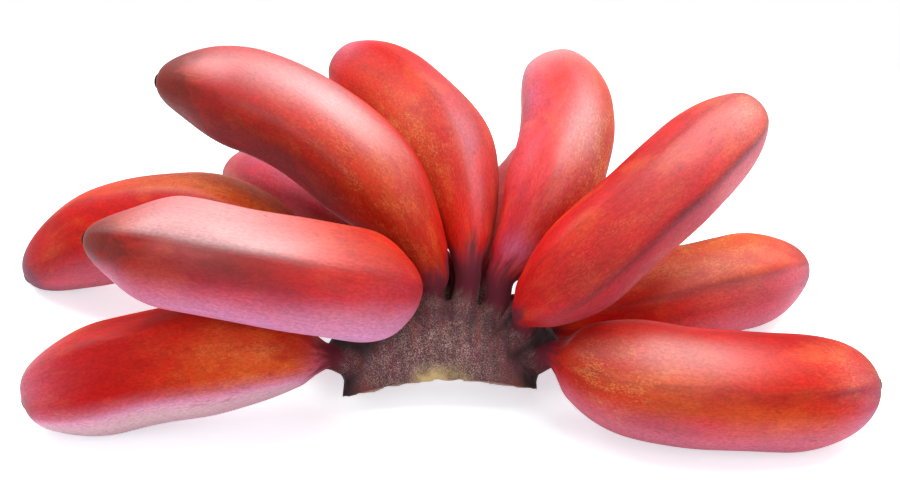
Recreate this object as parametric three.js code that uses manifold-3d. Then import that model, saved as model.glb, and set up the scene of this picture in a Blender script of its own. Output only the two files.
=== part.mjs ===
// A hand of red bananas at rest on a flat surface.
//
// The crown is the cut cushion that joined the hand to the stalk of the bunch. Two rows of fingers
// fan out from it: an outer row on top, whose two end fingers lie on the surface, and an inner row
// under it. Each finger is one fruit with its own stalk, and it snaps off at the crown.
//
// Millimetres. +X runs to the right along the crown's cut edge, +Y from that edge towards the
// tips, +Z up. The origin is on the surface, in the middle of the hand's footprint.
import * as THREE from "three";
import { mergeVertices } from "three/addons/utils/BufferGeometryUtils.js";
import Module from "manifold-3d";

const wasm = await Module();
wasm.setup();

const { clamp, degToRad, euclideanModulo, lerp } = THREE.MathUtils;

// From the hand's origin to the point on the surface below the middle of the crown's cut edge.
const CUT_EDGE_MIDDLE = new THREE.Vector3(5.2, -60, 0);

// Stalks and fruits.
const RIDGES = 5; // the corners of a fruit's section
const SIDES = 15; // segments round a fruit, a multiple of RIDGES
const FRUIT_RINGS = 14; // segments along a fruit
const STALK_RADIUS = 4.9;
const ROOT_RADIUS = 5.8; // where a stalk leaves the crown
const NECK_RADIUS = 6.4; // where a stalk widens into its fruit
const SCAR_RADIUS = 3.6; // of the stub that the flower left on the tip
const SCAR_LENGTH = 2.5;
const NARROWING = 0.3; // the share of a fruit's length over which it narrows to its tip
const SNAP_GAP = 0.3; // between a stalk and the root that carries it
const ROOT_PULL = 0.6; // how straight a stalk leaves its root, as a share of its length
const NECK_PULL = 0.4; // how straight it runs into its fruit

// The crown, drawn in its own plane: x to the right, u up the slope, n into its thickness.
const CROWN_TILT = degToRad(62); // of the crown's plane above the surface
const CROWN_HALF_WIDTH = 38;
const CROWN_SIDE = 8; // the height of its straight sides
const CROWN_ROUND = 28; // the half width at which its rounded top would turn
const CROWN_HEIGHT = 30;
const CROWN_THICKNESS = 26;
const CROWN_BEVEL = 2;
const CROWN_SPARE = 14; // the stock below the corners, which the knife takes away
const CUT_CLEARANCE = 6; // from the surface to the crown's lower corners
const CUT_RADIUS = 140; // the hollow curve of the knife's cut
const CUT_SHIFT = 5; // of the cut's highest point to the right of the crown's middle
const ROOT_REACH = 38; // from the middle of the cut edge to a root's end
const ROOT_LENGTH = 22;
const ROOT_SPREAD = 1.2; // how much wider a root is at its base
const ROW_DEPTH = { outer: 7.5, inner: 19.5 }; // of each row's roots behind the crown's front face

// Each finger: its row, the angle of its root round the crown, three points on its centre line
// (where the stalk becomes the fruit, the middle of the bend, the tip), its thickness, the turn of
// its ridges in degrees, how angular its section is (0 is round, 1 a sharp pentagon), the share of
// its length over which it widens, and how blunt its shoulder and its point are, from 0 to 1.
const FINGERS = [
  {
    name: "banana_outer_1", row: "outer", root: 158,
    neck: [-49, 8.5, 22], belly: [-100, -6, 28], tip: [-158, -6, 10.5],
    girth: 46, turn: 59, edge: 0.5, widening: 0.4, shoulder: 0.75, point: 1,
  },
  {
    name: "banana_outer_2", row: "outer", root: 116,
    neck: [-16, 12, 48.5], belly: [-64, -14, 73.5], tip: [-132, 13, 71.5],
    girth: 45, turn: 56, edge: 0.6, widening: 0.2, shoulder: 0.95, point: 0.5,
  },
  {
    name: "banana_outer_3", row: "outer", root: 95,
    neck: [-3, 26, 50], belly: [-45, 58, 92], tip: [-113, 98, 97],
    girth: 43, turn: 0, edge: 0.35, widening: 0.34, shoulder: 0.4, point: 0.7,
  },
  {
    name: "banana_outer_4", row: "outer", root: 76,
    neck: [11, 33, 53.5], belly: [-1, 86, 76], tip: [-43, 139, 86],
    girth: 42, turn: 61, edge: 0.4, widening: 0.46, shoulder: 0.4, point: 0.95,
  },
  {
    name: "banana_outer_5", row: "outer", root: 59,
    neck: [25.5, 27, 50], belly: [50, 75, 79], tip: [47, 142, 80],
    girth: 39.5, turn: 29, edge: 0.35, widening: 0.35, shoulder: 0.4, point: 0.95,
  },
  {
    name: "banana_outer_6", row: "outer", root: 41,
    neck: [35, 12, 41], belly: [74, 18, 78], tip: [124, 73, 96],
    girth: 40, turn: 38, edge: 0.55, widening: 0.25, shoulder: 0.7, point: 0.9,
  },
  {
    name: "banana_outer_7", row: "outer", root: 22,
    neck: [49, 4.5, 24], belly: [104, -17, 23], tip: [166, -8, 19.5],
    girth: 47, turn: 27, edge: 0.35, widening: 0.3, shoulder: 0.9, point: 0.95,
  },
  {
    name: "banana_inner_1", row: "inner", root: 148,
    neck: [-44, 31, 33], belly: [-103, 73, 45.5], tip: [-176, 101, 3.2],
    girth: 43, turn: 45, edge: 0.45, widening: 0.38, shoulder: 0.4, point: 0.8,
  },
  {
    name: "banana_inner_2", row: "inner", root: 89,
    neck: [1, 46, 38], belly: [-46, 94, 42], tip: [-92, 156, 23],
    girth: 38, turn: 40, edge: 0.4, widening: 0.38, shoulder: 0.4, point: 0.8,
  },
  {
    name: "banana_inner_3", row: "inner", root: 68,
    neck: [15, 44, 35], belly: [36, 98, 40], tip: [50, 154, 29],
    girth: 38, turn: 67, edge: 0.4, widening: 0.38, shoulder: 0.4, point: 0.8,
  },
  {
    name: "banana_inner_4", row: "inner", root: 30,
    neck: [46, 32, 22.5], belly: [98, 55, 21], tip: [152, 86, 16.5],
    girth: 42.5, turn: 12, edge: 0.55, widening: 0.35, shoulder: 0.4, point: 0.8,
  },
];

const peel = new THREE.MeshStandardMaterial({ color: 0xb5342c, roughness: 0.45, metalness: 0 });
const bark = new THREE.MeshStandardMaterial({ color: 0x6b4a44, roughness: 0.85, metalness: 0 });

// A closed geometry as a solid, for joining and cutting.
function solid(geometry) {
  const bare = geometry.clone();
  bare.deleteAttribute("normal");
  bare.deleteAttribute("uv");
  const merged = mergeVertices(bare, 1e-4);
  return new wasm.Manifold(
    new wasm.Mesh({
      numProp: 3,
      vertProperties: new Float32Array(merged.attributes.position.array),
      triVerts: new Uint32Array(merged.index.array),
    }),
  );
}

// A solid as a named mesh.
function meshOf(made, name, material) {
  const { vertProperties, triVerts } = made.getMesh();
  const geometry = new THREE.BufferGeometry();
  geometry.setAttribute("position", new THREE.BufferAttribute(vertProperties, 3));
  geometry.setIndex(new THREE.BufferAttribute(triVerts, 1));
  geometry.computeVertexNormals();
  const mesh = new THREE.Mesh(geometry, material);
  mesh.name = name;
  return mesh;
}

// A point given in the crown's own plane, in the hand's frame.
function crownPoint(x, u, n) {
  return new THREE.Vector3(
    x,
    u * Math.cos(CROWN_TILT) + n * Math.sin(CROWN_TILT),
    CUT_CLEARANCE + u * Math.sin(CROWN_TILT) - n * Math.cos(CROWN_TILT),
  );
}

// The end of a finger's root on the crown, and the way it points.
function rootEnd({ row, root }) {
  const angle = degToRad(root);
  const depth = ROW_DEPTH[row];
  const end = crownPoint(ROOT_REACH * Math.cos(angle), ROOT_REACH * Math.sin(angle), depth);
  const direction = end.clone().sub(crownPoint(0, 0, depth)).normalize();
  return { end, direction };
}

// A finger's centre line: a stalk that bends from its root to the neck, then an even arc.
function spine(finger) {
  const neck = new THREE.Vector3(...finger.neck);
  const belly = new THREE.Vector3(...finger.belly);
  const tip = new THREE.Vector3(...finger.tip);
  const bend = belly.multiplyScalar(2).sub(neck.clone().add(tip).multiplyScalar(0.5));
  const fruit = new THREE.QuadraticBezierCurve3(neck, bend, tip);

  const { end, direction } = rootEnd(finger);
  const start = end.addScaledVector(direction, SNAP_GAP);
  const reach = start.distanceTo(neck);
  const stalk = new THREE.CubicBezierCurve3(
    start,
    start.clone().addScaledVector(direction, reach * ROOT_PULL),
    neck.clone().addScaledVector(fruit.getTangent(0), -reach * NECK_PULL),
    neck,
  );
  return { stalk, fruit };
}

// An end of a fruit, from 0 at its narrowest to 1 at its full width, as x goes from 0 to 1. A blunt
// end follows an ellipse, and a slender one a gentle S.
function swell(x, bluntness) {
  const ellipse = Math.sqrt(1 - (1 - x) ** 2);
  const slender = x * x * (3 - 2 * x);
  return lerp(slender, ellipse, bluntness);
}

// The radius of a stalk at a share of its length: it flares at both ends.
function stalkRadius(share) {
  const flare = (ROOT_RADIUS - STALK_RADIUS) * clamp(1 - share * 3, 0, 1) ** 2;
  const widen = (NECK_RADIUS - STALK_RADIUS) * clamp(share * 2 - 1, 0, 1) ** 2;
  return STALK_RADIUS + flare + widen;
}

// The radius of a fruit at a share of its length.
function fruitRadius(share, { girth, widening, shoulder, point }) {
  const fromNeck = swell(clamp(share / widening, 0, 1), shoulder);
  const fromTip = swell(clamp((1 - share) / NARROWING, 0, 1), point);
  return Math.min(lerp(NECK_RADIUS, girth / 2, fromNeck), lerp(SCAR_RADIUS, girth / 2, fromTip));
}

// How far out the skin lies at an angle round the section: a pentagon with its corners rounded.
function ridgeFactor(angle, depth) {
  const side = (2 * Math.PI) / RIDGES;
  const fromMiddle = euclideanModulo(angle, side) - side / 2;
  const pentagon = Math.cos(side / 2) / Math.cos(fromMiddle) / Math.cos(side / 4);
  return lerp(1, pentagon, depth);
}

// A finger's outline as if it were straight, from its root to its tip: radius, then height.
function fingerProfile(finger, stalkLength, fruitLength) {
  const profile = [new THREE.Vector2(0, 0)];
  for (const share of [0, 0.2, 0.45, 0.7]) {
    profile.push(new THREE.Vector2(stalkRadius(share), share * stalkLength));
  }
  for (let ring = 0; ring <= FRUIT_RINGS; ring += 1) {
    const share = (1 - Math.cos((Math.PI * ring) / FRUIT_RINGS)) / 2;
    const radius = fruitRadius(share, finger);
    profile.push(new THREE.Vector2(radius, stalkLength + share * fruitLength));
  }
  const end = stalkLength + fruitLength + SCAR_LENGTH;
  profile.push(new THREE.Vector2(SCAR_RADIUS * 0.8, end));
  profile.push(new THREE.Vector2(0, end));
  return profile;
}

// A finger, turned as a straight shape, then bent along its centre line and given its ridges.
function fingerGeometry(finger) {
  const { stalk, fruit } = spine(finger);
  const stalkLength = stalk.getLength();
  const fruitLength = fruit.getLength();
  const chord = fruit.v2.clone().sub(fruit.v0);
  const across = chord.cross(fruit.v1.clone().sub(fruit.v0)).normalize();
  const profile = fingerProfile(finger, stalkLength, fruitLength);
  const geometry = new THREE.LatheGeometry(profile.reverse(), SIDES);
  const position = geometry.attributes.position;
  for (let i = 0; i < position.count; i += 1) {
    const at = position.getY(i);
    const radius = Math.hypot(position.getX(i), position.getZ(i));
    const angle = Math.atan2(position.getZ(i), position.getX(i));
    const onFruit = at >= stalkLength;
    const curve = onFruit ? fruit : stalk;
    const share = onFruit ? clamp((at - stalkLength) / fruitLength, 0, 1) : at / stalkLength;
    const along = curve.getTangentAt(share);
    const side = across.clone().addScaledVector(along, -across.dot(along)).normalize();
    const inward = side.clone().cross(along);
    const fullness = onFruit ? clamp((5 * radius) / finger.girth - 0.8, 0, 1) : 0;
    const skin = radius * ridgeFactor(angle + degToRad(finger.turn), finger.edge * fullness);
    const point = curve.getPointAt(share);
    point.addScaledVector(along, Math.max(0, at - stalkLength - fruitLength));
    point.addScaledVector(inward, skin * Math.cos(angle));
    point.addScaledVector(side, skin * Math.sin(angle));
    position.setXYZ(i, point.x, point.y, point.z);
  }
  return geometry;
}

// A slab below the surface: it cuts the small flats on which the lowest fruits rest.
const ground = solid(new THREE.BoxGeometry(500, 500, 40).translate(0, 0, -20));

function fingerMesh(finger) {
  return meshOf(solid(fingerGeometry(finger)).subtract(ground), finger.name, peel);
}

// A finger's root: a tapered peg from the heart of the crown to where the stalk snaps off.
function rootGeometry(finger) {
  const { end, direction } = rootEnd(finger);
  const peg = new THREE.CylinderGeometry(ROOT_RADIUS, ROOT_RADIUS * ROOT_SPREAD, ROOT_LENGTH, 12);
  peg.translate(0, -ROOT_LENGTH / 2, 0);
  const turn = new THREE.Quaternion().setFromUnitVectors(new THREE.Vector3(0, 1, 0), direction);
  return peg.applyQuaternion(turn).translate(end.x, end.y, end.z);
}

// The crown's cushion before the cut: a thick fan with rounded shoulders, leaning back.
function cushionGeometry() {
  const fan = new THREE.Shape();
  fan.moveTo(-CROWN_HALF_WIDTH, -CROWN_SPARE);
  fan.lineTo(CROWN_HALF_WIDTH, -CROWN_SPARE);
  fan.lineTo(CROWN_HALF_WIDTH, CROWN_SIDE);
  fan.quadraticCurveTo(CROWN_ROUND, CROWN_HEIGHT, 0, CROWN_HEIGHT);
  fan.quadraticCurveTo(-CROWN_ROUND, CROWN_HEIGHT, -CROWN_HALF_WIDTH, CROWN_SIDE);
  fan.closePath();
  const cushion = new THREE.ExtrudeGeometry(fan, {
    depth: CROWN_THICKNESS - 2 * CROWN_BEVEL,
    bevelThickness: CROWN_BEVEL,
    bevelSize: CROWN_BEVEL,
    bevelOffset: -CROWN_BEVEL,
    bevelSegments: 2,
    curveSegments: 8,
  });
  cushion.translate(0, 0, CROWN_BEVEL - CROWN_THICKNESS);
  return cushion.rotateX(CROWN_TILT).translate(0, 0, CUT_CLEARANCE);
}

// The knife's sweep: a wide drum along Y, whose top leaves the crown's cut face slightly hollow. It
// passes through the crown's lower left corner.
function knifeGeometry() {
  const axis = Math.sqrt(CUT_RADIUS ** 2 - (CROWN_HALF_WIDTH + CUT_SHIFT) ** 2);
  const drum = new THREE.CylinderGeometry(CUT_RADIUS, CUT_RADIUS, 200, 64);
  return drum.translate(CUT_SHIFT, 0, CUT_CLEARANCE - axis);
}

function crownMesh() {
  let made = solid(cushionGeometry());
  for (const finger of FINGERS) {
    made = made.add(solid(rootGeometry(finger)));
  }
  return meshOf(made.subtract(solid(knifeGeometry())), "crown", bark);
}

const hand = new THREE.Group();
hand.add(crownMesh(), ...FINGERS.map(fingerMesh));
hand.position.copy(CUT_EDGE_MIDDLE);

export default hand;
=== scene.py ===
"""The looks of a hand of red bananas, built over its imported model.

Metres. +X runs to the right along the crown's cut edge, +Y from that edge towards the tips, +Z up.
The origin is on the surface that the hand lies on, in the middle of its footprint.
"""

import math
from typing import NamedTuple

import bpy
import numpy as np
from bpy.props import FloatProperty, FloatVectorProperty, IntProperty, PointerProperty
from bpy.types import Operator, Panel, PropertyGroup
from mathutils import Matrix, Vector


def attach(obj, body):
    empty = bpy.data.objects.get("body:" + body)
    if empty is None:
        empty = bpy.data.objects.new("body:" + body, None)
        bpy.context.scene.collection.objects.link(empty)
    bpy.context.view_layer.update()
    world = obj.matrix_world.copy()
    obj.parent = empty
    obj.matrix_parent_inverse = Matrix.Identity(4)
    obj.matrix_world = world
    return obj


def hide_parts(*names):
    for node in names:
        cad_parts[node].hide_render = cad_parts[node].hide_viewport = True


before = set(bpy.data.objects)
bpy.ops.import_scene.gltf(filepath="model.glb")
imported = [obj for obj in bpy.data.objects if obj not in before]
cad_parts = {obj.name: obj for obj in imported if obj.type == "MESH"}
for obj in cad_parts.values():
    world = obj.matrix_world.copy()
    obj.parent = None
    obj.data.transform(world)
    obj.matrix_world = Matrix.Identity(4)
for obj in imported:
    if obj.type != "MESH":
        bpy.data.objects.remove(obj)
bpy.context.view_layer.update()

bl_info = {
    "name": "Red Banana Hand",
    "version": (1, 0, 0),
    "blender": (4, 5, 0),
    "location": "3D View > Sidebar > Bananas",
    "description": "Grows a hand of red bananas on its cut crown, and sets up its stage",
    "category": "Add Mesh",
}

BODY = "root"
MM = 0.001  # the lengths from here to the lamps are in millimetres

# From the hand's origin to the point on the surface below the middle of the crown's cut edge.
CUT_EDGE_MIDDLE = np.array((5.2, -60.0, 0.0))

# The crown, drawn in its own plane: x to the right, u up the slope, n out of its front face.
CROWN_TILT = math.radians(62)  # of the crown's plane above the surface
CROWN_HALF_WIDTH = 38.0
CROWN_SIDE = 8.0  # the height of its straight sides
CROWN_HEIGHT = 30.0
CROWN_THICKNESS = 26.0
CROWN_TOP_CURVE = (2.6, 0.8)  # exponents of the line of its top over the width
CROWN_SECTION_CURVE = 0.45  # exponent of its section: 1 is an ellipse, 0 a box
CROWN_PINCH = 0.12  # how much thinner it is at its two sides, as a share
PINCH_CURVE = 14  # exponent of the pinch over the width
CROWN_SPARE = 14.0  # the stock below the corners, which the knife takes away
CUT_CLEARANCE = 6.0  # from the surface to the crown's lower corners
UP_SLOPE = np.array((1.0, 0.12, 0.12))  # how far to squeeze space for noise that runs up the slope
CUT_RADIUS = 140.0  # the hollow curve of the knife's cut
CUT_SHIFT = 5.0  # of the cut's highest point to the right of the crown's middle
ROOT_REACH = 38.0  # from the middle of the cut edge to a root's end
ROOT_LENGTH = 22.0
ROW_DEPTH = {"outer": 7.5, "inner": 19.5}  # of each row's roots behind the crown's front face
CUT_WAVE = 0.35  # how uneven the blade has left the cut
BARK_VOXEL = 0.8  # how finely the bark is grown
BARK_PASSES = 26  # how often the bark is settled
BARK_CLEARANCE = 0.2  # the least height of the bark above the surface

# A root's outline: distances from its end, and its radii there.
ROOT_OUTLINE = ((-ROOT_LENGTH, -8.0, 0.0, 3.0), (7.4, 6.8, 6.0, 5.2))

# The webs of bark between two neighbouring roots: the angle round the crown, how far the web
# reaches out past the roots' ends, and its depth behind the crown's front face.
WEBS = ((137, -5, 12), (105, -3, 10), (86, -3, 10), (67, -2, 10), (50, 10, 10), (31, 11, 11),
        (151, 8, 10))

# Stalks and fruits.
RIDGES = 5
FACET_ANGLE = 2 * math.pi / RIDGES  # from one ridge to the next
ROOT_TUCK = 7.0  # how far a stalk runs on inside its root
ROOT_PULL = 0.6  # how straight a stalk leaves its root, as a share of its length
NECK_PULL = 0.4  # how straight it runs into its fruit
EASING = 5.0  # how far a stalk and its fruit run into each other
NARROWING = 0.3  # the share of a fruit's length over which it narrows to its tip
RIDGE_FADE = (0.16, 0.36)  # the ridges fade in between these radii, as shares of the girth
RIDGE_LINE = math.radians(6)  # half the width of the worn line along a ridge
DENT_WIDTH = 38.0  # of the soft dents in the skin
PATTERN_STEP = 400.0  # between two fingers in the space that the skin's pattern fills
STALK_RINGS = 40
EASING_STEPS = 41

# The dry stub's outline: distances past the end of its fruit, and its radii there as shares of
# its first. Then the places of its rings.
STUB_OUTLINE = ((0, 0.5, 1.2, 2.2, 2.6), (1, 0.86, 0.84, 0.9, 0.7))
STUB_RINGS = (0.25, 0.5, 0.85, 1.2, 1.7, 2.2, 2.45, 2.6)
STUB_DISH = 0.5  # how far the middle of its end is sunk

# Ways that a patch of skin can face.
UP = (0.0, 0.0, 1.0)
FRONT = (0.0, -0.87, 0.5)
LOW_FRONT = (0.0, -1.0, 0.0)
UPPER_FRONT = (0.0, -0.55, 0.83)
UPPER_RIGHT = (0.4, -0.45, 0.8)
LOW = (0.0, -0.5, -0.87)
LOW_RIGHT = (0.5, -0.85, 0.0)
UNDER_RIGHT = (0.6, -0.5, -0.6)
LEFT = (-0.8, -0.4, 0.45)
RIGHT = (0.8, -0.4, 0.45)

FACET = 0  # as a mark's spread: the whole facet that faces so, from ridge to ridge
FACET_EDGE = math.radians(5)  # the softness of such a mark's edges

# The painted sheen, pink painted on the skin for the white floor's reflection, is none where the
# skin's way out rises more than the first of these, and strongest where that rises less than the
# second.
PAINTED_SHEEN_RISE = (0.25, -0.55)

# The way that the skin most rubbed smooth faces, and how far that reaches round it in degrees.
POLISHED = (0.15, -0.42, 0.9)
POLISH_SPREAD = 40

# The kinds of marks. Each mark on a finger is a soft patch of skin: its middle as a share of the
# fruit's length, the way it faces, how far it reaches along the fruit as a share, how far it
# spreads round it in degrees, and its strength.
# Of these kinds, the pink sheen and the pale one are painted light: painted reflection of the floor
# on the undersides and painted highlights. The violet kind is partly the skin's own colour and
# partly painted sheen, and the brown kind is partly the tips' own brown and partly painted shade.
MARKS = ("warm", "brown_and_shade", "painted_sheen", "pale", "violet_and_sheen", "fleck", "crease")


class Finger(NamedTuple):
    """One finger. Three points on its centre line are measured from below the middle of the
    crown's cut edge."""

    root: float  # the angle of its root round the crown, in degrees
    neck: tuple  # where the stalk becomes the fruit
    belly: tuple  # the middle of the bend
    tip: tuple
    girth: float  # its thickness
    turn: float  # of its ridges, in degrees
    edge: float  # how angular its section is: 0 is round, 1 a sharp pentagon
    painted_sheen: float  # how strongly its underside is painted pink, as painted reflection of the floor
    polish: tuple  # how smooth its top is rubbed, and the middle and reach of that as shares
    marks: dict  # its patches of skin, by kind
    widening: float = 0.38  # the share of its length over which it widens
    shoulder: float = 0.4  # how blunt it is at the stalk: 0 is slender, 1 full
    point: float = 0.8  # how blunt it is at the tip


FINGERS = {
    "outer_1": Finger(
        158, (-49, 8.5, 22), (-100, -6, 28), (-158, -6, 10.5), girth=46, turn=59, edge=0.5,
        widening=0.4, shoulder=0.75, point=1, painted_sheen=1.5, polish=(0.1, 0.5, 1.0), marks={
            "warm": [(0.22, FRONT, 0.22, 50, 1.3), (0.3, LOW_FRONT, 0.14, 26, 0.8)],
            "fleck": [(0.25, FRONT, 0.2, 40, 0.6)],
            "painted_sheen": [(0.98, LEFT, 0.14, 60, 0.6), (0.6, LOW, 0.6, FACET, 0.45)],
            "violet_and_sheen": [(0.02, LOW_FRONT, 0.06, 60, 0.5)],
        },
    ),
    "outer_2": Finger(
        116, (-16, 12, 48.5), (-64, -14, 73.5), (-132, 13, 71.5), girth=45, turn=56, edge=0.6,
        widening=0.2, shoulder=0.95, point=0.5, painted_sheen=0.85, polish=(1.0, 0.56, 0.22), marks={
            "brown_and_shade": [(0.92, FRONT, 0.16, 50, 1.7), (0.6, FRONT, 0.35, 24, 0.7),
                     (0.1, UPPER_FRONT, 0.14, 50, 0.25)],
            "warm": [(0.12, FRONT, 0.12, 30, 0.7), (0.2, UP, 0.2, 30, 0.6),
                     (0.15, UPPER_FRONT, 0.2, 40, 0.3)],
            "crease": [(0.7, FRONT, 0.3, 40, 0.5)],
            "pale": [(0.6, UPPER_FRONT, 0.22, FACET, 0.5)],
            "violet_and_sheen": [(0.4, LOW, 0.5, 46, 0.9), (0.1, LOW_FRONT, 0.1, 40, 0.5)],
            "painted_sheen": [(0.12, LOW_FRONT, 0.16, 40, 0.35)],
        },
    ),
    "outer_3": Finger(
        95, (-3, 26, 50), (-45, 58, 92), (-113, 98, 97), girth=43, turn=0, edge=0.35,
        widening=0.34, point=0.7, painted_sheen=0.1, polish=(1.0, 0.62, 0.35), marks={
            # The second brown patch is painted shade on the finger's lower side.
            "brown_and_shade": [(0.97, FRONT, 0.15, 100, 1.7), (0.5, LOW, 0.55, 66, 1.9)],
            "warm": [(0.25, FRONT, 0.2, 50, 0.6)],
            "fleck": [(0.25, FRONT, 0.25, 50, 0.5)],
            "painted_sheen": [(0.66, UPPER_RIGHT, 0.22, 20, 0.35)],
            "pale": [(0.68, UPPER_RIGHT, 0.26, 24, 1.2)],
        },
    ),
    "outer_4": Finger(
        76, (11, 33, 53.5), (-1, 86, 76), (-43, 139, 86), girth=42, turn=61, edge=0.4,
        widening=0.46, point=0.95, painted_sheen=0.1, polish=(0.2, 0.45, 0.4), marks={
            "warm": [(0.45, LEFT, 0.3, 40, 0.8)],
            "fleck": [(0.4, LEFT, 0.25, 50, 0.8)],
            "pale": [(0.5, UPPER_RIGHT, 0.25, 10, 0.35), (0.45, FRONT, 0.3, 50, 0.07),
                     (0.4, UPPER_RIGHT, 0.3, FACET, 0.1)],
            "violet_and_sheen": [(0.5, UPPER_RIGHT, 0.25, 13, 1.0)],
            "brown_and_shade": [(0.6, RIGHT, 0.25, 25, 0.7)],
            "painted_sheen": [(0.95, UP, 0.08, 60, 0.45)],
        },
    ),
    "outer_5": Finger(
        59, (25.5, 27, 50), (50, 75, 79), (47, 142, 80), girth=39.5, turn=29, edge=0.35,
        widening=0.35, point=0.95, painted_sheen=0.2, polish=(0.45, 0.5, 0.4), marks={
            "warm": [(0.5, RIGHT, 0.3, 45, 0.8)],
            "fleck": [(0.45, RIGHT, 0.25, 50, 0.8)],
            "pale": [(0.86, FRONT, 0.12, 70, 0.85), (0.6, LEFT, 0.3, 24, 0.25),
                     (0.55, UPPER_RIGHT, 0.2, 22, 0.4)],
            "violet_and_sheen": [(0.6, LEFT, 0.4, 26, 0.5), (0.05, FRONT, 0.05, 40, 0.45),
                      (0.6, FRONT, 0.35, 50, 0.3)],
            "brown_and_shade": [(0.45, RIGHT, 0.3, 35, 0.5)],
            "painted_sheen": [(0.5, FRONT, 0.28, 16, 0.65)],
        },
    ),
    "outer_6": Finger(
        41, (35, 12, 41), (74, 18, 78), (124, 73, 96), girth=40, turn=38, edge=0.55, widening=0.25,
        shoulder=0.7, point=0.9, painted_sheen=0.15, polish=(0.35, 0.7, 0.4), marks={
            "brown_and_shade": [(0.25, LOW_FRONT, 0.1, 30, 0.35), (0.45, FRONT, 0.35, 45, 0.2)],
            "pale": [(0.85, UPPER_RIGHT, 0.2, 40, 0.2)],
            "painted_sheen": [(0.5, FRONT, 0.4, 60, 0.07), (0.85, UNDER_RIGHT, 0.35, FACET, 0.45)],
            "fleck": [(0.9, UPPER_RIGHT, 0.12, 40, 0.9), (0.35, FRONT, 0.3, 30, 0.25)],
            "warm": [(0.9, UPPER_RIGHT, 0.12, 40, 0.4), (0.35, FRONT, 0.25, 30, 0.15)],
            "crease": [(0.7, LOW_RIGHT, 0.5, 55, 1.0)],
        },
    ),
    "outer_7": Finger(
        22, (49, 4.5, 24), (104, -17, 23), (166, -8, 19.5), girth=47, turn=27, edge=0.35,
        widening=0.3, shoulder=0.9, point=0.95, painted_sheen=0.55, polish=(0.6, 0.34, 0.26), marks={
            "warm": [(0.3, FRONT, 0.25, 35, 1.0), (0.7, LOW_FRONT, 0.25, 20, 0.9),
                     (0.9, UPPER_FRONT, 0.14, 40, 0.35)],
            "pale": [(0.35, UPPER_FRONT, 0.2, 20, 0.25), (0.9, UPPER_FRONT, 0.12, 30, 0.1)],
            "fleck": [(0.88, UPPER_FRONT, 0.12, 35, 0.5), (0.2, FRONT, 0.16, 40, 1.0)],
            "brown_and_shade": [(0.38, LOW_FRONT, 0.1, 22, 0.4), (0.14, UPPER_FRONT, 0.12, 45, 0.45)],
            "violet_and_sheen": [(0.95, LOW_FRONT, 0.1, 50, 0.35), (0.03, LOW, 0.05, 50, 0.4)],
            "crease": [(0.85, FRONT, 0.25, 40, 0.5)],
        },
    ),
    "inner_1": Finger(
        148, (-44, 31, 33), (-103, 73, 45.5), (-176, 101, 3.2), girth=43, turn=45, edge=0.45,
        painted_sheen=0.45, polish=(0.3, 0.5, 0.6), marks={
            "warm": [(0.32, UP, 0.3, FACET, 1.4)],
            "fleck": [(0.32, UP, 0.25, FACET, 0.5)],
            "brown_and_shade": [(0.78, FRONT, 0.12, 40, 0.6), (0.99, FRONT, 0.08, 70, 0.8)],
            "violet_and_sheen": [(1.0, FRONT, 0.07, 90, 0.35)],
        },
    ),
    "inner_2": Finger(
        89, (1, 46, 38), (-46, 94, 42), (-92, 156, 23), girth=38, turn=40, edge=0.4, painted_sheen=0.35,
        polish=(0.2, 0.5, 1.0), marks={
            "brown_and_shade": [(0.8, UP, 0.3, 60, 0.3), (0.5, FRONT, 0.5, 60, 0.5)],
            "painted_sheen": [(0.6, FRONT, 0.5, 70, 0.15)],
            "violet_and_sheen": [(0.6, UP, 0.4, 40, 0.6)],
            "warm": [(0.3, UP, 0.2, 40, 0.5)],
        },
    ),
    "inner_3": Finger(
        68, (15, 44, 35), (36, 98, 40), (50, 154, 29), girth=38, turn=67, edge=0.4, painted_sheen=0.5,
        polish=(0.2, 0.5, 1.0), marks={
            "warm": [(0.4, UP, 0.25, 40, 0.6)],
            "brown_and_shade": [(0.9, UP, 0.12, 60, 0.5)],
            "painted_sheen": [(0.6, FRONT, 0.5, 70, 0.7)],
        },
    ),
    "inner_4": Finger(
        30, (46, 32, 22.5), (98, 55, 21), (152, 86, 16.5), girth=42.5, turn=12, edge=0.55,
        widening=0.35, painted_sheen=0.4, polish=(0.25, 0.6, 0.5), marks={
            "pale": [(0.6, UPPER_FRONT, 0.25, 30, 0.08)],
            "warm": [(0.6, UP, 0.3, 60, 1.1)],
            "fleck": [(0.55, UP, 0.25, 40, 1.0)],
            "violet_and_sheen": [(0.95, LOW_FRONT, 0.12, 50, 0.35)],
            "crease": [(0.75, FRONT, 0.4, 60, 0.6)],
            "painted_sheen": [(0.9, LOW_FRONT, 0.35, FACET, 0.3)],
        },
    ),
}

# Each lamp: its place and the length of its side in metres, the setting for its power, its share
# of that power, and its colour.
LAMPS = {
    "key": ((0.34, 0.12, 1.15), 0.85, "key_power", 1.0, (1.0, 0.985, 0.97)),
    "fill_left": ((-1.0, -0.9, 0.55), 0.7, "fill_power", 1.2, (0.96, 0.96, 1.0)),
    "rim_left": ((-0.75, 0.5, 0.75), 0.6, "rim_power", 1.9, (1.0, 0.98, 1.0)),
    "rim_right": ((0.8, 0.5, 0.6), 0.5, "rim_power", 1.0, (1.0, 0.98, 0.96)),
    "fill_right": ((1.0, -0.9, 0.8), 0.7, "fill_power", 1.0, (1.0, 0.98, 0.96)),
}

# The floor's colour in the light that it sends on, and near the hand the colour and the light of
# its own that the camera sees. Away from the hand it turns white between two distances in metres.
FLOOR_BOUNCE = (0.84, 0.81, 0.86)
FLOOR_SEEN = (0.84, 1.0, 0.94)
FLOOR_GLOW = (0.56, 0.545, 0.59)
FLOOR_FADE = (0.19, 0.36)
BLACK = (0.0, 0.0, 0.0)
WHITE = (1.0, 1.0, 1.0)


# ---------------------------------------------------------------------------- sizes and finishes


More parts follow.
